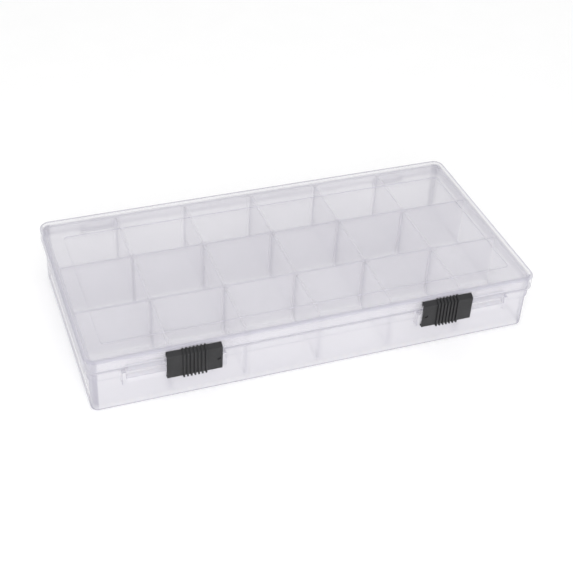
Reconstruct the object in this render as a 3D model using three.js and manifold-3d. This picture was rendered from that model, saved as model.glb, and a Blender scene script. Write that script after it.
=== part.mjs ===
// Clear compartment box for fishing tackle: a shallow moulded tray in three rows, divided by lift-out
// plates, under a clear hinged lid that two dark sliding latches lock at the front.
//
// Frame: millimetres, +X along the box, +Y towards the hinges, +Z up. The origin is the centre of the
// flat underside. The lid is closed and both latches are at the inner end of their tracks, where they
// miss the lid's rails and leave the lid free to open.
import * as THREE from 'three';
import { mergeVertices } from 'three/addons/utils/BufferGeometryUtils.js';
import Module from 'manifold-3d';

const wasm = await Module();
wasm.setup();

// ---------------------------------------------------------------- driving dimensions
const FIT = 0.3; // gap between pieces that touch or slide on each other

// Overall and lid
const LID_LENGTH = 232;
const LID_DEPTH = 116;
const BOX_HEIGHT = 32.4;
const LID_CORNER_R = 5.5;
const LID_EDGE_R = 1.5; // rounding of the lid's top edge
const SKIRT_DROP = 7.7; // from the lid's top to the lower edge of its skirt
const SKIRT_WALL = 1.5;
const LID_PANEL = 1.2;
const PANEL_RECESS = 0.5; // the panel lies this far below its raised border
const BORDER_SIDE = 10;
const BORDER_FRONT = 12;
const BORDER_REAR = 17;

// Tray
const LID_CLEARANCE = 0.5; // between the skirt and the tray wall inside it
const TRAY_WALL = 1.5;
const FLOOR = 1.6;
const TRAY_EDGE_R = 1.2; // rounding of the bottom edge
const BAND_HEIGHT = 4.8; // stiffening band round the wall, just below the skirt
const BAND_PROUD = 0.7;
const WALL_TOP_GAP = 0.4; // between the tops of the tray's walls and the lid's panel

// Compartments
const ROWS = 3;
const COLUMNS = 6;
const PARTITION_WALL = 1.3; // fixed walls between the rows
const DIVIDER_WALL = 1.2; // lift-out plates between the columns
const DIVIDER_CHAMFER = 2; // at the plates' lower corners
const GUIDE_WALL = 0.9; // thickness of each guide rib beside a plate
const GUIDE_REACH = 1; // how far a guide rib stands out of its wall

// Hinges: a barrel on the lid turns between two ears on the tray, on stub pins moulded with the barrel
const HINGE_X = 84.5; // middle of each hinge
const HINGE_SPAN = 19;
const EAR_WIDTH = 3;
const KNUCKLE_R = 2; // outer radius of the barrel and the ears
const STUB_R = 0.9;
const STUB_SHORT = 0.2; // the stubs end this far inside the ears' outer faces
const SNAP_SLOT = 1.4; // mouth of each ear, which a stub snaps through
const HINGE_GAP = 0.7; // between the barrel and the tray's band
const HINGE_DROP = 0.1; // from the skirt's lower edge down to the top of the ears
const HINGE_WEB = 2; // height of the web that joins the barrel to the skirt, above the skirt's edge

// Latches and their rails
const LATCH_WIDTH = 27;
const LATCH_X = 65.2; // middle of each latch at rest
const LATCH_TRAVEL = 18.7;
const LATCH_PLATE = 0.9;
const LATCH_LIP = 0.8; // thickness of the lip below the tray's rail
const SHOULDER_LIFT = 0.3; // from the front of the upper hook to the face's top edge
const SHOULDER_RISE = 1.4; // sloped top of the latch, from its face up to its rear edge
const LOWER_LIP_REACH = 1.6; // how far the lower lip hooks in behind the rail's face
const RAIL_PROUD = 1.8; // rails' front face ahead of the skirt
const LID_RAIL_HEIGHT = 3.9; // the lid's rail stands on the skirt's lower edge
const RAIL_GAP = 4; // between the lid's rail and the tray's
const TRAY_RAIL_HEIGHT = 2.8;
const UNDERCUT = 0.625; // slope of the rails' hooked faces
const STOP_WIDTH = 2;
const STOP_DROP = 1.1; // stops reach this far below the tray's rail
const GRIP_RIBS = 7;
const GRIP_PITCH = 1.8;
const GRIP_WIDTH = 0.9;
const GRIP_PROUD = 0.7;
const DETENT_R = 0.9;
const DETENT_DEPTH = 0.4;
const DETENT_IN = 1.9; // from the latch's inner end

const CORNER_STEPS = 6; // flats in a quarter turn
const ROUND_STEPS = 16; // flats round a barrel or stub
const PAST = 1; // how far a cutting solid runs past what it cuts

// ---------------------------------------------------------------- worked-out places
const lidHalfX = LID_LENGTH / 2;
const lidHalfY = LID_DEPTH / 2;
const skirtZ = BOX_HEIGHT - SKIRT_DROP;
const panelTopZ = BOX_HEIGHT - PANEL_RECESS;
const panelUnderZ = panelTopZ - LID_PANEL;
const wallTopZ = panelUnderZ - WALL_TOP_GAP;

const trayInset = SKIRT_WALL + LID_CLEARANCE;
const trayHalfX = lidHalfX - trayInset;
const trayHalfY = lidHalfY - trayInset;
const trayCornerR = LID_CORNER_R - trayInset;
const bandTopZ = skirtZ - LID_CLEARANCE;
const bandZ = bandTopZ - BAND_HEIGHT;
const innerHalfX = trayHalfX - TRAY_WALL;
const innerHalfY = trayHalfY - TRAY_WALL;
const pocketR = trayCornerR - TRAY_WALL;

const rowDepth = (2 * innerHalfY - (ROWS - 1) * PARTITION_WALL) / ROWS;
const rowPitch = rowDepth + PARTITION_WALL;
const columnWidth = (2 * innerHalfX - (COLUMNS - 1) * DIVIDER_WALL) / COLUMNS;
const columnPitch = columnWidth + DIVIDER_WALL;
const rowCentres = Array.from({ length: ROWS }, (_, row) => (row - (ROWS - 1) / 2) * rowPitch);
const dividerCentres = Array.from({ length: COLUMNS - 1 }, (_, i) => (i - (COLUMNS - 2) / 2) * columnPitch);

const hingeY = trayHalfY + BAND_PROUD + HINGE_GAP + KNUCKLE_R;
const hingeZ = skirtZ - HINGE_DROP - KNUCKLE_R;
const boreR = STUB_R + FIT;
const hingeInnerX = HINGE_X - HINGE_SPAN / 2;
const hingeOuterX = HINGE_X + HINGE_SPAN / 2;
const barrelInnerX = hingeInnerX + EAR_WIDTH + FIT;
const barrelOuterX = hingeOuterX - EAR_WIDTH - FIT;
const earSpans = [[hingeInnerX, hingeInnerX + EAR_WIDTH], [hingeOuterX - EAR_WIDTH, hingeOuterX]];

const railFaceY = -lidHalfY - RAIL_PROUD;
const lidRailTopZ = skirtZ + LID_RAIL_HEIGHT;
const trayRailTopZ = skirtZ - RAIL_GAP;
const trayRailZ = trayRailTopZ - TRAY_RAIL_HEIGHT;
const latchBackY = railFaceY - FIT; // rear of the latch's face plate
const latchFaceY = latchBackY - LATCH_PLATE;
const latchInnerX = LATCH_X - LATCH_WIDTH / 2;
const latchOuterX = LATCH_X + LATCH_WIDTH / 2;
const trackInnerX = latchInnerX - FIT;
const trackOuterX = latchOuterX + LATCH_TRAVEL + FIT;
const lidRailInnerX = latchOuterX + 2 * FIT; // starts just past the latch at rest
const lidRailOuterX = trackOuterX - 2 * FIT;

// ---------------------------------------------------------------- solids
/** A closed geometry as a solid that can be cut and joined. */
function solid(geometry) {
  geometry.deleteAttribute('normal');
  geometry.deleteAttribute('uv');
  const merged = mergeVertices(geometry, 1e-4);
  return new wasm.Manifold(new wasm.Mesh({
    numProp: 3,
    vertProperties: merged.attributes.position.array,
    triVerts: new Uint32Array(merged.index.array),
  }));
}

/** A block between two corners. */
function block(x0, x1, y0, y1, z0, z1) {
  const geometry = new THREE.BoxGeometry(x1 - x0, y1 - y0, z1 - z0);
  geometry.translate((x0 + x1) / 2, (y0 + y1) / 2, (z0 + z1) / 2);
  return solid(geometry);
}

/** A rectangle with round corners, about the origin. */
function roundedRectangle(halfX, halfY, r) {
  const shape = new THREE.Shape();
  shape.absarc(halfX - r, halfY - r, r, 0, Math.PI / 2);
  shape.absarc(r - halfX, halfY - r, r, Math.PI / 2, Math.PI);
  shape.absarc(r - halfX, r - halfY, r, Math.PI, 1.5 * Math.PI);
  shape.absarc(halfX - r, r - halfY, r, 1.5 * Math.PI, 2 * Math.PI);
  shape.closePath();
  return shape;
}

/** An upright prism of a round-cornered rectangle. */
function slab(halfX, halfY, r, z0, z1) {
  const geometry = new THREE.ExtrudeGeometry(roundedRectangle(halfX, halfY, r), {
    depth: z1 - z0,
    bevelEnabled: false,
    curveSegments: CORNER_STEPS,
  });
  return solid(geometry.translate(0, 0, z0));
}

/** The same, with its upper and lower edges rounded. */
function softSlab(halfX, halfY, r, z0, z1, edge) {
  const geometry = new THREE.ExtrudeGeometry(roundedRectangle(halfX - edge, halfY - edge, r - edge), {
    depth: z1 - z0 - 2 * edge,
    bevelThickness: edge,
    bevelSize: edge,
    bevelSegments: 3,
    curveSegments: CORNER_STEPS,
  });
  return solid(geometry.translate(0, 0, z0 + edge));
}

/** A profile in the Y-Z plane drawn out along X. */
function prism(points, x0, x1) {
  const shape = new THREE.Shape(points.map(([y, z]) => new THREE.Vector2(y, z)));
  const geometry = new THREE.ExtrudeGeometry(shape, { depth: x1 - x0, bevelEnabled: false });
  const turn = new THREE.Matrix4().makeBasis(
    new THREE.Vector3(0, 1, 0),
    new THREE.Vector3(0, 0, 1),
    new THREE.Vector3(1, 0, 0),
  );
  return solid(geometry.applyMatrix4(turn).translate(x0, 0, 0));
}

/** A round bar along X on the hinge axis. */
function hingeBar(r, x0, x1) {
  const geometry = new THREE.CylinderGeometry(r, r, x1 - x0, ROUND_STEPS);
  geometry.rotateZ(Math.PI / 2).translate((x0 + x1) / 2, hingeY, hingeZ);
  return solid(geometry);
}

/** A piece and its mirror image across the middle of the box. */
function bothSides(piece) {
  return piece.add(piece.mirror([1, 0, 0]));
}

function joined(pieces) {
  return pieces.reduce((whole, piece) => whole.add(piece));
}

// ---------------------------------------------------------------- tray
/** Pairs of ribs on the row walls, which hold both ends of every lift-out plate. */
function guideRibs() {
  const slotHalf = DIVIDER_WALL / 2 + FIT;
  const bite = PARTITION_WALL / 4; // sunk into the wall, so that the rib joins it
  const ribs = [];
  for (const x of dividerCentres) {
    for (const y of rowCentres) {
      for (const end of [-1, 1]) {
        const wall = y + end * rowDepth / 2;
        const [y0, y1] = [wall - end * GUIDE_REACH, wall + end * bite].sort((a, b) => a - b);
        for (const side of [-1, 1]) {
          const [x0, x1] = [x + side * slotHalf, x + side * (slotHalf + GUIDE_WALL)].sort((a, b) => a - b);
          ribs.push(block(x0, x1, y0, y1, FLOOR / 2, wallTopZ));
        }
      }
    }
  }
  return joined(ribs);
}

/** The hollows of the rows. The outer corners are round, where the rows meet the end walls. */
function rowHollows() {
  const inside = slab(innerHalfX, innerHalfY, pocketR, FLOOR, BOX_HEIGHT);
  const rows = rowCentres.map((y) =>
    block(-innerHalfX, innerHalfX, y - rowDepth / 2, y + rowDepth / 2, FLOOR, BOX_HEIGHT));
  return inside.intersect(joined(rows));
}

/** The tray's latch track on one side: an undercut rail and the stops at its two ends. */
function trayTrack() {
  const root = -innerHalfY - TRAY_WALL / 2;
  const neckY = -lidHalfY;
  const neckZ = trayRailZ + RAIL_PROUD * UNDERCUT;
  const rail = prism([
    [root, trayRailTopZ],
    [railFaceY, trayRailTopZ],
    [railFaceY, trayRailZ],
    [neckY, neckZ],
    [root, neckZ],
  ], trackInnerX, trackOuterX);
  const stop = (x) => block(x, x + STOP_WIDTH, railFaceY, root, trayRailZ - STOP_DROP, bandTopZ);
  return joined([rail, stop(trackInnerX - STOP_WIDTH), stop(trackOuterX)]);
}

/** The tray's share of one hinge: two ears, each on a bracket from the rear wall. */
function trayEars() {
  const root = innerHalfY + TRAY_WALL / 2;
  return joined(earSpans.flatMap(([x0, x1]) => [
    hingeBar(KNUCKLE_R, x0, x1),
    block(x0, x1, root, hingeY, hingeZ - KNUCKLE_R, hingeZ),
  ]));
}

/** What is cut out of the ears: the bore, and a narrower mouth to the rear that the stubs snap through. */
function earBores() {
  const [x0, x1] = [hingeInnerX - PAST, hingeOuterX + PAST];
  const mouth = block(
    x0, x1, hingeY, hingeY + KNUCKLE_R + PAST, hingeZ - SNAP_SLOT / 2, hingeZ + SNAP_SLOT / 2);
  return hingeBar(boreR, x0, x1).add(mouth);
}

function tray() {
  const shell = softSlab(trayHalfX, trayHalfY, trayCornerR, 0, BOX_HEIGHT, TRAY_EDGE_R)
    .subtract(block(-lidHalfX, lidHalfX, -lidHalfY, lidHalfY, wallTopZ, BOX_HEIGHT + PAST));
  const band = slab(
    trayHalfX + BAND_PROUD, trayHalfY + BAND_PROUD, trayCornerR + BAND_PROUD, bandZ, bandTopZ);
  return shell
    .add(band)
    .add(bothSides(trayTrack()))
    .add(bothSides(trayEars()))
    .subtract(rowHollows())
    .add(guideRibs())
    .subtract(bothSides(earBores()));
}

// ---------------------------------------------------------------- lid
/** The lid's share of one latch: an undercut rail along the skirt's lower edge. */
function lidRail() {
  const root = -lidHalfY + SKIRT_WALL / 2;
  const neckZ = lidRailTopZ - RAIL_PROUD * UNDERCUT;
  return prism([
    [root, skirtZ],
    [root, neckZ],
    [-lidHalfY, neckZ],
    [railFaceY, lidRailTopZ],
    [railFaceY, skirtZ],
  ], lidRailInnerX, lidRailOuterX);
}

/** The lid's share of one hinge: a barrel with a stub pin at each end, on a web from the skirt. */
function lidBarrel() {
  return joined([
    hingeBar(KNUCKLE_R, barrelInnerX, barrelOuterX),
    hingeBar(STUB_R, hingeInnerX + STUB_SHORT, hingeOuterX - STUB_SHORT),
    block(barrelInnerX, barrelOuterX, lidHalfY - SKIRT_WALL / 2, hingeY, hingeZ, skirtZ + HINGE_WEB),
  ]);
}

/** The sunk middle of the lid's top, which lies nearer the front than the rear. */
function panelRecess() {
  const halfY = lidHalfY - (BORDER_FRONT + BORDER_REAR) / 2;
  return slab(lidHalfX - BORDER_SIDE, halfY, LID_EDGE_R, panelTopZ, BOX_HEIGHT + PAST)
    .translate([0, (BORDER_FRONT - BORDER_REAR) / 2, 0]);
}

function lid() {
  const shell = softSlab(
    lidHalfX, lidHalfY, LID_CORNER_R, skirtZ - 2 * LID_EDGE_R, BOX_HEIGHT, LID_EDGE_R);
  const below = block(-lidHalfX - PAST, lidHalfX + PAST, -lidHalfY - PAST, lidHalfY + PAST, 0, skirtZ);
  const hollow = slab(
    lidHalfX - SKIRT_WALL, lidHalfY - SKIRT_WALL, LID_CORNER_R - SKIRT_WALL, 0, panelUnderZ);
  return shell
    .subtract(below)
    .subtract(hollow)
    .subtract(panelRecess())
    .add(bothSides(lidRail()))
    .add(bothSides(lidBarrel()));
}

// ---------------------------------------------------------------- latch
/** The right-hand latch: a channel whose lips hook over the lid's rail and under the tray's. */
function latch() {
  const slant = FIT * (UNDERCUT + Math.hypot(1, UNDERCUT)); // keeps the gap square to the hooked faces
  const upperFrontZ = lidRailTopZ + slant;
  const lowerFrontZ = trayRailZ - slant;
  const upperBackY = -lidHalfY - FIT;
  const lowerBackY = latchBackY + LOWER_LIP_REACH;
  const faceTopZ = upperFrontZ + SHOULDER_LIFT;
  const footZ = lowerFrontZ - LATCH_LIP;
  const shoulderZ = faceTopZ + SHOULDER_RISE;
  const channel = prism([
    [latchFaceY, faceTopZ],
    [upperBackY, shoulderZ],
    [upperBackY, upperFrontZ - (upperBackY - latchBackY) * UNDERCUT],
    [latchBackY, upperFrontZ],
    [latchBackY, lowerFrontZ],
    [lowerBackY, lowerFrontZ + LOWER_LIP_REACH * UNDERCUT],
    [lowerBackY, footZ],
    [latchFaceY, footZ],
  ], latchInnerX, latchOuterX);
  const core = latchBackY - LATCH_PLATE / 2; // inside the face plate
  const grip = (x) => prism([
    [upperBackY, shoulderZ],
    [upperBackY, shoulderZ + GRIP_PROUD],
    [latchFaceY - GRIP_PROUD, faceTopZ + GRIP_PROUD / 2],
    [latchFaceY - GRIP_PROUD, footZ - GRIP_PROUD],
    [lowerBackY, footZ - GRIP_PROUD],
    [lowerBackY, footZ],
    [core, footZ],
    [core, faceTopZ],
  ], x - GRIP_WIDTH / 2, x + GRIP_WIDTH / 2);
  const grips = Array.from({ length: GRIP_RIBS }, (_, i) =>
    grip(LATCH_X + (i - (GRIP_RIBS - 1) / 2) * GRIP_PITCH));
  const detent = new THREE.CylinderGeometry(DETENT_R, DETENT_R, 2 * DETENT_DEPTH, ROUND_STEPS)
    .translate(latchInnerX + DETENT_IN, latchFaceY, (faceTopZ + footZ) / 2);
  return channel.add(joined(grips)).subtract(solid(detent));
}

// ---------------------------------------------------------------- lift-out plates
/** One lift-out plate, standing across the middle of the box. */
function divider() {
  const halfY = rowDepth / 2 - FIT;
  const footZ = FLOOR + FIT;
  return prism([
    [-halfY, wallTopZ],
    [-halfY, footZ + DIVIDER_CHAMFER],
    [DIVIDER_CHAMFER - halfY, footZ],
    [halfY - DIVIDER_CHAMFER, footZ],
    [halfY, footZ + DIVIDER_CHAMFER],
    [halfY, wallTopZ],
  ], -DIVIDER_WALL / 2, DIVIDER_WALL / 2);
}

// ---------------------------------------------------------------- the object
const clearPlastic = { color: 0xdcdce4, roughness: 0.08, metalness: 0, transparent: true, opacity: 0.35 };
const materials = {
  tray: new THREE.MeshStandardMaterial(clearPlastic),
  lid: new THREE.MeshStandardMaterial(clearPlastic),
  divider: new THREE.MeshStandardMaterial(clearPlastic),
  latch: new THREE.MeshStandardMaterial({ color: 0x2c2c2e, roughness: 0.45, metalness: 0 }),
};

/** A named mesh of a solid. */
function piece(name, shape, material) {
  const mesh = shape.getMesh();
  const geometry = new THREE.BufferGeometry();
  geometry.setAttribute('position', new THREE.BufferAttribute(new Float32Array(mesh.vertProperties), 3));
  geometry.setIndex(new THREE.BufferAttribute(new Uint32Array(mesh.triVerts), 1));
  geometry.computeVertexNormals();
  const made = new THREE.Mesh(geometry, material);
  made.name = name;
  return made;
}

const box = new THREE.Group();
box.add(piece('tray', tray(), materials.tray));
box.add(piece('lid', lid(), materials.lid));

const latchShape = latch();
box.add(piece('latch_right', latchShape, materials.latch));
box.add(piece('latch_left', latchShape.mirror([1, 0, 0]), materials.latch));

const rowNames = ['front', 'middle', 'rear'];
const dividerShape = divider();
rowCentres.forEach((y, row) => {
  dividerCentres.forEach((x, column) => {
    const plate = piece(`divider_${rowNames[row]}_${column + 1}`, dividerShape, materials.divider);
    plate.position.set(x, y, 0);
    box.add(plate);
  });
});

export default box;
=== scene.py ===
"""Looks of a clear compartment box with a hinged lid, lift-out plates and two dark sliding latches."""

import math

import bmesh
import bpy
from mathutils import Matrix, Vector


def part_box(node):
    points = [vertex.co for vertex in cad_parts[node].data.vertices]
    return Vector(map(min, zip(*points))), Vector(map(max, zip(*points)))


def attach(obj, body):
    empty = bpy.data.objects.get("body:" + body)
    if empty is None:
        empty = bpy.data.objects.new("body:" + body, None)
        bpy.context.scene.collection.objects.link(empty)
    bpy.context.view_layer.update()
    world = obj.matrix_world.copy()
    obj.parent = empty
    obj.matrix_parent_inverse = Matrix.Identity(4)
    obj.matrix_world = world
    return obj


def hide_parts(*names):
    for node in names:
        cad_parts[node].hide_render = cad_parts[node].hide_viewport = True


bl_info = {
    "name": "Compartment Tackle Box",
    "version": (1, 0, 0),
    "blender": (4, 5, 0),
    "location": "View3D > Sidebar > Tackle Box",
    "description": "Builds a clear compartment box with a hinged lid, lift-out plates and sliding latches",
    "category": "Object",
}

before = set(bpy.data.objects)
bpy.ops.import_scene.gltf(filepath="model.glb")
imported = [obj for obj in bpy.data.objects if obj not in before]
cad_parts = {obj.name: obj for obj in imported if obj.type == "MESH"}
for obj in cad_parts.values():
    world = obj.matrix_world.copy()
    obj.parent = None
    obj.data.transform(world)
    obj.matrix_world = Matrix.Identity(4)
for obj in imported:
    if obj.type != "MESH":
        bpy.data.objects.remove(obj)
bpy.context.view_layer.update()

# Lengths are in metres.
PLATE_CLEARANCE = 0.0003  # between a plate and the tray's floor
FLOOR_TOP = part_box("divider_front_1")[0].z - PLATE_CLEARANCE
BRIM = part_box("tray")[1].z
LID_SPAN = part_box("lid")[0].z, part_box("lid")[1].z

WELD = 1e-6  # corners closer than this are one corner
LEVEL_WITHIN = 2e-5  # an edge this near the floor's height lies on the floor
FLAT = math.radians(1)  # faces that meet at less are one face
CREASE = math.radians(30)  # edges that turn more than this are sharp
UPRIGHT = 0.2  # an upright face's normal rises by no more than this
LEVEL = 0.95  # a level face's normal rises by no less than this

LONG_EDGE = 0.003  # shorter outer edges stay square
CLEAR_OF_FLOOR = 0.0004
WALL_RUN = 0.005  # edges between a wall and the floor are longer than this
CORNER_FACET = 0.0007  # and those in the tray's round corners are shorter than this
FILLET_LIMIT = 0.0009  # the largest floor fillet
BELOW_FLOOR = 0.0001  # how far under the floor a fillet's faces are still looked for
PLATE_CORNER = 0.002  # cut off each lower corner of a plate
NARROW = 0.0016  # level and sloping faces narrower than this are edges of a wall
NARROW_UPRIGHT = 0.0005  # and upright faces narrower than this

# Painted light and shade: height moves the clear plastic's tone, so a piece is lighter at one end and darker
# at the other.
PAINTED_SHADING_SWING = 0.38  # how far height moves the tone along its ramp, either way
GLANCE_POWER = 3.0  # keeps the haze low until a glancing angle
EVEN = (1.0, 1.0, 1.0)
FLOOR_SIZE = 20.0
VIEW_END = 60.0


# ---------------------------------------------------------------- sizes and colours
def length(name, description, default, least, most):
    """A setting for a length."""
    return bpy.props.FloatProperty(
        name=name,
        description=description,
        default=default,
        min=least,
        max=most,
        subtype="DISTANCE",
        unit="LENGTH",
    )


def share(name, description, default):
    """A setting between none and all."""
    return bpy.props.FloatProperty(
        name=name, description=description, default=default, min=0.0, max=1.0, subtype="FACTOR"
    )


def tone(name, description, default):
    """A setting for a colour."""
    return bpy.props.FloatVectorProperty(
        name=name, description=description, default=default, min=0.0, max=1.0, subtype="COLOR"
    )


def power(name, description, default):
    """A setting for the power of a light."""
    return bpy.props.FloatProperty(name=name, description=description, default=default, min=0.0, unit="POWER")


def brightness(name, description, default):
    """A setting for the strength of a glow."""
    return bpy.props.FloatProperty(name=name, description=description, default=default, min=0.0)


def angle(name, description, degrees):
    """A setting for an angle."""
    return bpy.props.FloatProperty(
        name=name, description=description, default=math.radians(degrees), subtype="ANGLE"
    )


class TackleSizes(bpy.types.PropertyGroup):
    """Moulded radii of the box and its fittings."""

    floor_fillet: length(
        "Floor fillet", "Radius where a compartment's walls run into its floor", 0.0008, 0.0, FILLET_LIMIT
    )
    fillet_segments: bpy.props.IntProperty(
        name="Fillet segments",
        description="Facets across a floor fillet",
        default=4,
        min=4,
        max=8,
    )
    wall_edge: length(
        "Wall edge", "Radius on the long outer edges of the clear mouldings", 0.0002, 0.00005, 0.0002
    )
    plate_edge: length("Plate edge", "Radius on the edges of the lift-out plates", 0.00025, 0.00005, 0.0005)
    latch_edge: length(
        "Latch edge", "Radius on the edges of the latches and their ribs", 0.0002, 0.00005, 0.0002
    )


class TackleFinish(bpy.types.PropertyGroup):
    """Finish of the clear and the dark plastic, with painted light and shade in the clear plastic's tones."""

    # Painted light and shade: the tray is lighter at its brim and darker towards its floor, and this brim
    # tone is also the darker foot of the plates.
    brim_tone: tone(
        "Brim tone", "Haze of the tray at its brim and of the plates at their foot", (0.88, 0.87, 0.905)
    )
    # Painted shade: the tray's darker tone down at its floor.
    shaded_foot_tone: tone("Foot tone", "Tone of the tray's walls at the floor, painted darker there as shade", (0.775, 0.765, 0.81))
    # Painted light: the plates are lighter at their upper edge than at their foot.
    lit_plate_top_tone: tone("Plate tone", "Haze of the lift-out plates at their upper edge", (0.98, 0.97, 0.99))
    # Painted light: the lid is lighter towards the lower edge of its skirt than at its top.
    lit_skirt_tone: tone("Skirt tone", "Haze of the lid at the lower edge of its skirt", (0.95, 0.94, 0.97))
    lid_top_tone: tone("Lid top tone", "Haze of the lid's border and panel", (0.75, 0.74, 0.785))
    # Painted shade: narrow edges are darker than the faces, and darker still towards the foot of the box.
    edge_pale: tone("Edge pale tone", "Tone of narrow edges at the top of the box", (0.56, 0.55, 0.62))
    edge_deep: tone("Edge deep tone", "Tone of narrow edges at the foot of the box", (0.46, 0.45, 0.52))
    edge_haze: share("Edge haze", "How solid a narrow edge of the tray looks head on", 0.42)
    plate_end_haze: share("Plate end haze", "How solid a narrow edge of a lift-out plate looks head on", 0.55)
    lid_edge_haze: share("Lid edge haze", "How solid a narrow edge of the lid looks head on", 0.6)
    edge_rim: share("Edge rim haze", "How solid a narrow edge looks at a glancing angle", 0.85)
    tray_haze: share("Tray haze", "How solid a face of the tray looks head on", 0.31)
    plate_haze: share("Plate haze", "How solid a face of a lift-out plate looks head on", 0.30)
    lid_haze: share("Lid haze", "How solid a face of the lid looks head on", 0.24)
    tray_rim: share("Tray rim haze", "How solid the tray and lid look at a glancing angle", 0.46)
    plate_rim: share("Plate rim haze", "How solid a lift-out plate looks at a glancing angle", 0.36)
    latch_light: tone("Latch light tone", "Paler tone of the latch plastic", (0.0175, 0.0175, 0.0195))
    latch_dark: tone("Latch dark tone", "Deeper tone of the latch plastic", (0.011, 0.011, 0.0125))


class TackleStudio(bpy.types.PropertyGroup):
    """Floor, lights and camera."""

    floor_colour: tone("Floor", "Colour of the floor", (0.93, 0.93, 0.93))
    floor_glow: brightness("Floor glow", "Light that comes up through the floor, as on a light table", 0.14)
    sky_strength: brightness("Sky strength", "Brightness of the even light from all round", 0.8)
    key_power: power("Key light", "Power of the soft light in front", 2.6)
    rim_power: power("Rim light", "Power of the weaker light behind", 0.4)
    lens: bpy.props.FloatProperty(
        name="Lens",
        description="Focal length of the camera, in millimetres",
        default=74.85,
        min=10.0,
    )
    azimuth: angle("Azimuth", "Turn of the camera round the box", -21.67)
    elevation: angle("Elevation", "Height of the camera over the floor, as an angle", 38.07)
    roll: angle("Roll", "Turn of the camera about its line of sight", 3.32)
    eye: bpy.props.FloatVectorProperty(
        name="Camera position",
        description="Where the camera stands",
        default=(-0.18049, -0.46070, 0.39554),
        subtype="TRANSLATION",
        unit="LENGTH",
    )


# ---------------------------------------------------------------- modelling
def welded_copy(node):
    """A bmesh of a CAD node with its loose triangles joined into whole faces."""
    shape = bmesh.new()
    shape.from_mesh(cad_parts[node].data)
    bmesh.ops.remove_doubles(shape, verts=shape.verts, dist=WELD)
    bmesh.ops.dissolve_limit(
        shape, angle_limit=FLAT, use_dissolve_boundaries=False, verts=shape.verts, edges=shape.edges
    )
    return shape


def sharp_edges(shape):
    """Edges whose two faces meet at more than a crease."""
    return [e for e in shape.edges if len(e.link_faces) == 2 and e.calc_face_angle(0) > CREASE]


def long_outer_edges(shape):
    """Sharp outer edges that are long and lie above the tray's floor."""
    return [
        e
        for e in sharp_edges(shape)
        if e.is_convex
        and e.calc_length() > LONG_EDGE
        and min(v.co.z for v in e.verts) > FLOOR_TOP + CLEAR_OF_FLOOR
    ]


def floor_edges(shape):
    """Sharp edges round the compartments' floors, apart from those at the guide ribs."""
    return [
        e
        for e in sharp_edges(shape)
        if all(abs(v.co.z - FLOOR_TOP) < LEVEL_WITHIN for v in e.verts)
        and (e.calc_length() > WALL_RUN or e.calc_length() < CORNER_FACET)
    ]


def lower_corners(shape, foot):
    """The edges across a plate's thickness at its two lower corners."""
    return [
        e
        for e in shape.edges
        if abs(e.verts[0].co.x - e.verts[1].co.x) > WELD and e.verts[0].co.z < foot + WELD
    ]


def width(face):
    """How wide a long face is."""
    return 2 * face.calc_area() / face.calc_perimeter()


def moulding_edges(shape):
    """Narrow level and sloping faces and the finest upright ones, apart from the floor fillets."""
    return [
        f
        for f in shape.faces
        if width(f) < (NARROW if abs(f.normal.z) > UPRIGHT else NARROW_UPRIGHT)
        and not -BELOW_FLOOR < f.calc_center_median().z - FLOOR_TOP < FILLET_LIMIT
    ]


def plate_ends(shape):
    """The upright ends of a plate, its cut corners and its rounded edges."""
    return [f for f in shape.faces if width(f) < NARROW and abs(f.normal.z) < LEVEL]


def rounded(shape, edges, radius, segments, clamp=True):
    """Rounds edges to a radius and clears the slivers that this leaves."""
    bmesh.ops.bevel(
        shape,
        geom=edges,
        offset=radius,
        offset_type="OFFSET",
        affect="EDGES",
        segments=segments,
        profile=0.5,
        material=-1,
        clamp_overlap=clamp,
    )
    bmesh.ops.dissolve_degenerate(shape, dist=WELD, edges=shape.edges)


def finished(shape, name, body, slot, material, *nodes, edges=(), edge_material=None):
    """Makes the bmesh an object that rides on a body and stands for CAD nodes."""
    for face in edges:
        face.material_index = 1
    for face in shape.faces:
        face.smooth = True
    for crease in sharp_edges(shape):
        crease.smooth = False
    mesh = bpy.data.meshes.new(name)
    shape.to_mesh(mesh)
    shape.free()
    if not mesh.polygons:
        raise RuntimeError(f"{name} came out empty")
    piece = bpy.data.objects.new(name, mesh)
    bpy.context.scene.collection.objects.link(piece)
    mesh.materials.append(material)
    if edge_material:
        mesh.materials.append(edge_material)
    normals = piece.modifiers.new("Flat faces", "WEIGHTED_NORMAL")
    normals.keep_sharp = True
    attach(piece, body)
    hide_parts(*nodes)
    return piece


# ---------------------------------------------------------------- materials
def new_material(name):
    """An empty node material and its tree."""
    old = bpy.data.materials.get(name)
    if old:
        bpy.data.materials.remove(old)
    material = bpy.data.materials.new(name)
    material.use_nodes = True
    material.node_tree.nodes.clear()
    return material, material.node_tree


def add(tree, kind, links=None, **settings):
    """Adds a node, sets its properties and links or sets its inputs by name or number."""
    node = tree.nodes.new(kind)
    for key, value in settings.items():
        setattr(node, key, value)
    for key, value in (links or {}).items():
        if isinstance(value, bpy.types.NodeSocket):
            tree.links.new(value, node.inputs[key])
        else:
            node.inputs[key].default_value = value
    return node


def tone_ramp(tree, factor, first_tone, last_tone, low=0.35, high=0.65):
    """A ramp from one tone to another."""
    ramp = add(tree, "ShaderNodeValToRGB", {"Fac": factor})
    first, last = ramp.color_ramp.elements
    first.position, first.color = low, (*first_tone, 1)
    last.position, last.color = high, (*last_tone, 1)
    return ramp.outputs["Color"]


def noise(tree, place, scale, detail):
    """A noise pattern on a place."""
    return add(tree, "ShaderNodeTexNoise", {"Vector": place, "Scale": scale, "Detail": detail}).outputs["Fac"]


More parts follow.
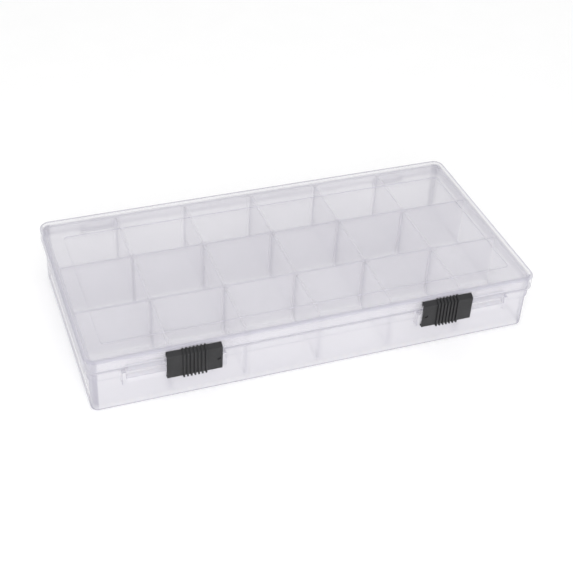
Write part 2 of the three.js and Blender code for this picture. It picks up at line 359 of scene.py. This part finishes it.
def clear_plastic(name, tones, hazes, levels, flow_along, wave):
    """Clear moulded plastic whose tone changes with height as painted light and shade, under faint flow
    clouds and a wavy gloss.

    The tones are those at the lower and the upper of the two levels. The hazes say how solid it looks
    head on and at a glancing angle.
    """
    material, tree = new_material(name)
    place = add(tree, "ShaderNodeTexCoord").outputs["Object"]
    flow_place = add(tree, "ShaderNodeMapping", {"Vector": place, "Scale": flow_along}).outputs["Vector"]
    flow = noise(tree, flow_place, 14.0, 3.0)
    scuff = noise(tree, place, 220.0, 4.0)
    waves = noise(tree, flow_place, wave, 1.0)
    # Painted light and shade: height moves the tone along the ramp, on top of the random flow clouds.
    height = add(tree, "ShaderNodeSeparateXYZ", {"Vector": place}).outputs["Z"]
    rise = add(
        tree,
        "ShaderNodeMapRange",
        {
            "Value": height,
            "From Min": levels[0],
            "From Max": levels[1],
            "To Min": -PAINTED_SHADING_SWING,
            "To Max": PAINTED_SHADING_SWING,
        },
    ).outputs["Result"]
    flow_and_shade = add(tree, "ShaderNodeMath", {0: flow, 1: rise}, operation="ADD").outputs["Value"]
    gloss = add(
        tree,
        "ShaderNodeMapRange",
        {"Value": scuff, "From Min": 0.3, "From Max": 0.7, "To Min": 0.12, "To Max": 0.26},
    ).outputs["Result"]
    bump = add(
        tree, "ShaderNodeBump", {"Height": waves, "Strength": 0.05, "Distance": 0.0003}
    ).outputs["Normal"]
    colour = tone_ramp(tree, flow_and_shade, *tones, low=0.0, high=1.0)
    body = add(
        tree,
        "ShaderNodeBsdfPrincipled",
        {"Base Color": colour, "Roughness": gloss, "IOR": 1.3, "Specular IOR Level": 0.25, "Normal": bump},
    )
    open_air = add(tree, "ShaderNodeBsdfTransparent")
    facing = add(tree, "ShaderNodeLayerWeight", {"Blend": 0.5}).outputs["Facing"]
    steep = add(tree, "ShaderNodeMath", {0: facing, 1: GLANCE_POWER}, operation="POWER").outputs["Value"]
    haze = add(
        tree, "ShaderNodeMapRange", {"Value": steep, "To Min": hazes[0], "To Max": hazes[1]}
    ).outputs["Result"]
    mixed = add(tree, "ShaderNodeMixShader", {"Fac": haze})
    tree.links.new(open_air.outputs["BSDF"], mixed.inputs[1])
    tree.links.new(body.outputs["BSDF"], mixed.inputs[2])
    add(tree, "ShaderNodeOutputMaterial", {"Surface": mixed.outputs["Shader"]})
    return material


def clear_edge_plastic(name, finish, haze):
    """The same plastic where one looks along a wall and so through more of it, in a darker tone of painted
    shade that deepens towards the foot.
    """
    tones, hazes = (finish.edge_deep, finish.edge_pale), (haze, finish.edge_rim)
    return clear_plastic(name, tones, hazes, levels=(0.0, LID_SPAN[1]), flow_along=EVEN, wave=40.0)


def latch_plastic(name, finish):
    """Dark satin plastic with a fine spark-eroded grain."""
    material, tree = new_material(name)
    place = add(tree, "ShaderNodeTexCoord").outputs["Object"]
    cloud = noise(tree, place, 160.0, 3.0)
    grain = noise(tree, place, 2600.0, 2.0)
    satin = add(
        tree,
        "ShaderNodeMapRange",
        {"Value": grain, "From Min": 0.3, "From Max": 0.7, "To Min": 0.42, "To Max": 0.58},
    ).outputs["Result"]
    bump = add(
        tree, "ShaderNodeBump", {"Height": grain, "Strength": 0.3, "Distance": 0.00005}
    ).outputs["Normal"]
    body = add(
        tree,
        "ShaderNodeBsdfPrincipled",
        {
            "Base Color": tone_ramp(tree, cloud, finish.latch_dark, finish.latch_light),
            "Roughness": satin,
            "Normal": bump,
        },
    )
    add(tree, "ShaderNodeOutputMaterial", {"Surface": body.outputs["BSDF"]})
    return material


def studio_paper(colour, glow):
    """Pale paper with a barely visible tooth, lit a little from below."""
    material, tree = new_material("studio_paper")
    place = add(tree, "ShaderNodeTexCoord").outputs["Object"]
    tooth = noise(tree, place, 40.0, 2.0)
    deeper = tuple(channel * 0.99 for channel in colour)
    body = add(
        tree,
        "ShaderNodeBsdfPrincipled",
        {
            "Base Color": tone_ramp(tree, tooth, deeper, colour),
            "Roughness": 0.9,
            "Specular IOR Level": 0.1,
            "Emission Color": (1, 1, 1, 1),
            "Emission Strength": glow,
        },
    )
    add(tree, "ShaderNodeOutputMaterial", {"Surface": body.outputs["BSDF"]})
    return material


# ---------------------------------------------------------------- operators
class TACKLE_OT_tray(bpy.types.Operator):
    """Build the tray with its fixed walls, guide ribs, hinge ears and front rails"""

    bl_idname = "tackle.tray"
    bl_label = "Tray"

    def execute(self, context):
        sizes, finish = context.scene.tackle_sizes, context.scene.tackle_finish
        shape = welded_copy("tray")
        rounded(shape, long_outer_edges(shape), sizes.wall_edge, 2, clamp=False)
        foot = floor_edges(shape)
        if not foot:
            raise RuntimeError("the tray has no compartment floor edges")
        rounded(shape, foot, sizes.floor_fillet, sizes.fillet_segments, clamp=False)
        # Painted shade: the tray's tone darkens from its brim down to its floor.
        tones, hazes = (finish.shaded_foot_tone, finish.brim_tone), (finish.tray_haze, finish.tray_rim)
        walls, flow = (FLOOR_TOP, BRIM), (1.0, 1.6, 2.4)
        plastic = clear_plastic("clear_tray_plastic", tones, hazes, walls, flow, wave=30.0)
        deeper = clear_edge_plastic("clear_tray_edges", finish, finish.edge_haze)
        edges = moulding_edges(shape)
        finished(
            shape,
            "tray_moulding",
            "tray",
            "clear_plastic",
            plastic,
            "tray",
            edges=edges,
            edge_material=deeper,
        )
        return {"FINISHED"}


class TACKLE_OT_lid(bpy.types.Operator):
    """Build the lid with its sunk panel, front rails and hinge barrels"""

    bl_idname = "tackle.lid"
    bl_label = "Lid"

    def execute(self, context):
        sizes, finish = context.scene.tackle_sizes, context.scene.tackle_finish
        # Painted light: the lid's tone lightens from its top down to the lower edge of its skirt.
        tones, hazes = (finish.lit_skirt_tone, finish.lid_top_tone), (finish.lid_haze, finish.tray_rim)
        flow = (1.3, 1.0, 2.0)
        plastic = clear_plastic("clear_lid_plastic", tones, hazes, LID_SPAN, flow, wave=24.0)
        shape = welded_copy("lid")
        rounded(shape, long_outer_edges(shape), sizes.wall_edge, 2, clamp=False)
        deeper = clear_edge_plastic("clear_lid_edges", finish, finish.lid_edge_haze)
        edges = moulding_edges(shape)
        finished(
            shape,
            "lid_moulding",
            "lid",
            "clear_plastic",
            plastic,
            "lid",
            edges=edges,
            edge_material=deeper,
        )
        return {"FINISHED"}


class TACKLE_OT_plates(bpy.types.Operator):
    """Build the lift-out plates, each a thin plate with cut lower corners"""

    bl_idname = "tackle.plates"
    bl_label = "Lift-out plates"

    def execute(self, context):
        sizes, finish = context.scene.tackle_sizes, context.scene.tackle_finish
        # Painted shade: each plate's tone darkens from its upper edge down to its foot.
        tones, hazes = (finish.brim_tone, finish.lit_plate_top_tone), (finish.plate_haze, finish.plate_rim)
        walls, flow = (FLOOR_TOP, BRIM), (1.0, 1.2, 1.2)
        plastic = clear_plastic("clear_plate_plastic", tones, hazes, walls, flow, wave=45.0)
        deeper = clear_edge_plastic("clear_plate_ends", finish, finish.plate_end_haze)
        nodes = sorted(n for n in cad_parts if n.startswith("divider_"))
        if not nodes:
            raise RuntimeError("the model has no lift-out plates")
        for node in nodes:
            low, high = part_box(node)
            shape = bmesh.new()
            bmesh.ops.create_cube(shape, size=1.0)
            bmesh.ops.scale(shape, vec=high - low, verts=shape.verts)
            bmesh.ops.translate(shape, vec=(low + high) / 2, verts=shape.verts)
            rounded(shape, lower_corners(shape, low.z), PLATE_CORNER, 1)
            rounded(shape, sharp_edges(shape), sizes.plate_edge, 2)
            ends = plate_ends(shape)
            finished(
                shape,
                node + "_plate",
                "tray",
                "clear_plastic",
                plastic,
                node,
                edges=ends,
                edge_material=deeper,
            )
        return {"FINISHED"}


class TACKLE_OT_latches(bpy.types.Operator):
    """Build the two ribbed sliding latches"""

    bl_idname = "tackle.latches"
    bl_label = "Latches"

    def execute(self, context):
        sizes, finish = context.scene.tackle_sizes, context.scene.tackle_finish
        plastic = latch_plastic("dark_latch_plastic", finish)
        for node in ("latch_left", "latch_right"):
            shape = welded_copy(node)
            outer = [e for e in sharp_edges(shape) if e.is_convex]
            rounded(shape, outer, sizes.latch_edge, 2, clamp=False)
            finished(shape, node + "_moulding", node, "latch_plastic", plastic, node)
        return {"FINISHED"}


class TACKLE_OT_stage(bpy.types.Operator):
    """Lay the pale floor, light the studio and stand the camera"""

    bl_idname = "tackle.stage"
    bl_label = "Studio"

    def execute(self, context):
        studio = context.scene.tackle_studio
        scene = context.scene
        self.lay_floor(scene, studio)
        self.light(scene, studio)
        self.stand_camera(scene, studio)
        scene.view_settings.view_transform = "Standard"
        scene.view_settings.look = "None"
        scene.cycles.transparent_max_bounces = 48
        scene.cycles.diffuse_bounces = 8
        return {"FINISHED"}

    def lay_floor(self, scene, studio):
        """A wide flat sheet under the box."""
        shape = bmesh.new()
        bmesh.ops.create_grid(shape, x_segments=1, y_segments=1, size=FLOOR_SIZE)
        mesh = bpy.data.meshes.new("studio_floor")
        shape.to_mesh(mesh)
        shape.free()
        floor = bpy.data.objects.new("studio_floor", mesh)
        scene.collection.objects.link(floor)
        mesh.materials.append(studio_paper(tuple(studio.floor_colour), studio.floor_glow))

    def light(self, scene, studio):
        """An even sky with a soft light in front and a weaker one behind."""
        world = bpy.data.worlds.new("studio_sky")
        scene.world = world
        world.use_nodes = True
        sky = world.node_tree.nodes["Background"]
        sky.inputs["Color"].default_value = (1, 1, 1, 1)
        sky.inputs["Strength"].default_value = studio.sky_strength
        for name, watts, size, spot in (
            ("key_light", studio.key_power, 0.6, (-0.22, -0.62, 0.50)),
            ("rim_light", studio.rim_power, 0.7, (0.5, 0.75, 0.7)),
        ):
            lamp = bpy.data.lights.new(name, "AREA")
            lamp.energy = watts
            lamp.size = size
            holder = bpy.data.objects.new(name, lamp)
            holder.location = spot
            holder.rotation_euler = (-Vector(spot)).to_track_quat("-Z", "Y").to_euler()
            scene.collection.objects.link(holder)

    def stand_camera(self, scene, studio):
        """A long lens from the front left, looking down."""
        turn, rise = studio.azimuth, studio.elevation
        back = Vector((math.sin(turn) * math.cos(rise), -math.cos(turn) * math.cos(rise), math.sin(rise)))
        lens = bpy.data.cameras.new("camera")
        lens.lens = studio.lens
        lens.sensor_width = 36.0
        lens.clip_start, lens.clip_end = 0.01, VIEW_END
        camera = bpy.data.objects.new("camera", lens)
        aim = (-back).to_track_quat("-Z", "Y").to_matrix()
        right, up = aim.col[0].copy(), aim.col[1].copy()
        level = math.cos(studio.roll), math.sin(studio.roll)
        aim.col[0] = right * level[0] + up * level[1]
        aim.col[1] = up * level[0] - right * level[1]
        camera.rotation_euler = aim.to_euler()
        camera.location = studio.eye
        scene.collection.objects.link(camera)
        scene.camera = camera


class TACKLE_PT_panel(bpy.types.Panel):
    """Tackle box in the sidebar"""

    bl_idname = "TACKLE_PT_panel"
    bl_label = "Tackle Box"
    bl_space_type = "VIEW_3D"
    bl_region_type = "UI"
    bl_category = "Tackle Box"

    def draw(self, context):
        scene, layout = context.scene, self.layout
        for group in (scene.tackle_sizes, scene.tackle_finish, scene.tackle_studio):
            box = layout.box()
            for name in group.__annotations__:
                box.prop(group, name)
        for operator in BUILDERS:
            layout.operator(operator.bl_idname)


BUILDERS = (TACKLE_OT_tray, TACKLE_OT_lid, TACKLE_OT_plates, TACKLE_OT_latches, TACKLE_OT_stage)
GROUPS = (("tackle_sizes", TackleSizes), ("tackle_finish", TackleFinish), ("tackle_studio", TackleStudio))


def register():
    for name, group in GROUPS:
        bpy.utils.register_class(group)
        setattr(bpy.types.Scene, name, bpy.props.PointerProperty(type=group))
    for operator in BUILDERS:
        bpy.utils.register_class(operator)
    bpy.utils.register_class(TACKLE_PT_panel)


def unregister():
    bpy.utils.unregister_class(TACKLE_PT_panel)
    for operator in reversed(BUILDERS):
        bpy.utils.unregister_class(operator)
    for name, group in reversed(GROUPS):
        delattr(bpy.types.Scene, name)
        bpy.utils.unregister_class(group)


def main():
    """Builds every piece in order."""
    register()
    bpy.ops.tackle.stage()
    bpy.ops.tackle.tray()
    bpy.ops.tackle.lid()
    bpy.ops.tackle.plates()
    bpy.ops.tackle.latches()


if __name__ == "__main__":
    main()
